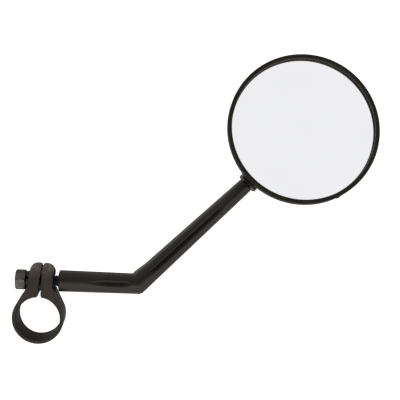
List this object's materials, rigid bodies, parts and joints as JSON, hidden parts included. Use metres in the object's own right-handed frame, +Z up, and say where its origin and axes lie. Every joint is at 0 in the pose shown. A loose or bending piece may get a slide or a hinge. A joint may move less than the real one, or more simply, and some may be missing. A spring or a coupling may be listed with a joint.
{
  "type": "bicycle handlebar mirror",
  "caption": "Round bar-mount bicycle mirror: a split clamp band, a bent fluted arm that turns about the clamp bolt, and a convex mirror head on a ball joint.",
  "frame": {"origin": "on the clamp's front side face, at the foot of the band and in the middle of its wall", "axes": "+X along the clamp bolt towards the arm, +Y along the handlebar bore away from the mirror's face, +Z up through the ears"},
  "size_m": [0.1844, 0.0497, 0.1488],
  "materials": {
    "black_nylon": "black glass-filled nylon, fine texture",
    "arm_plastic": "satin black moulded plastic",
    "head_plastic": "satin black moulded plastic",
    "black_zinc": "black zinc-plated steel",
    "steel": "bright steel",
    "brass": "turned brass",
    "mirror": "silvered convex glass",
    "rubber": "black rubber",
    "foam": "grey closed-cell foam",
    "acetal": "natural acetal"
  },
  "bodies": {
    "clamp": {"clamp_band": "black_nylon", "lock_washer": "black_zinc"},
    "nut": {"hex_nut": "black_zinc"},
    "stud": {"clamp_stud": "black_zinc"},
    "arm": {"arm_bar": "arm_plastic", "threaded_insert": "brass", "ball_stud": "steel"},
    "seat_inner": {"ball_seat_inner": "acetal"},
    "seat_outer": {"ball_seat_outer": "acetal"},
    "head": {"head_housing": "head_plastic", "bezel_ring": "head_plastic", "mirror_glass": "mirror", "glass_seal": "rubber", "foam_pad": "foam", "socket_retainer": "acetal", "retainer_screw_1": "steel", "retainer_screw_2": "steel", "friction_spring": "steel", "socket_collar": "rubber"}
  },
  "joints": [
    {"name": "nut_spin", "type": "hinge", "parent": "clamp", "child": "nut", "pos_m": [-0.01075, 0.0065, 0.03068], "axis": [1, 0, 0], "range_deg": [-361, 901]},
    {"name": "arm_draw", "type": "slide", "parent": "clamp", "child": "stud", "axis": [-1, 0, 0], "range_m": [-0.001, 0.0025]},
    {"name": "arm_pivot", "type": "hinge", "parent": "stud", "child": "arm", "pos_m": [0.0094, 0.0065, 0.03068], "axis": [1, 0, 0], "continuous": true},
    {"name": "head_swivel", "type": "hinge", "parent": "arm", "child": "seat_inner", "pos_m": [0.10646, 0.02788, 0.08358], "axis": [0.7071, 0.2649, 0.6556], "continuous": true},
    {"name": "head_tilt", "type": "hinge", "parent": "seat_inner", "child": "seat_outer", "pos_m": [0.10646, 0.02788, 0.08358], "axis": [0.7061, -0.216, -0.6743], "range_deg": [-6, 6]},
    {"name": "head_side_tilt", "type": "hinge", "parent": "seat_outer", "child": "head", "pos_m": [0.10646, 0.02788, 0.08358], "axis": [-0.037, 0.9398, -0.3398], "range_deg": [-6, 6]}
  ],
  "couplings": [
    {"joint": "nut_spin", "follows": "arm_draw", "rad_per_m": 6283.2}
  ]
}
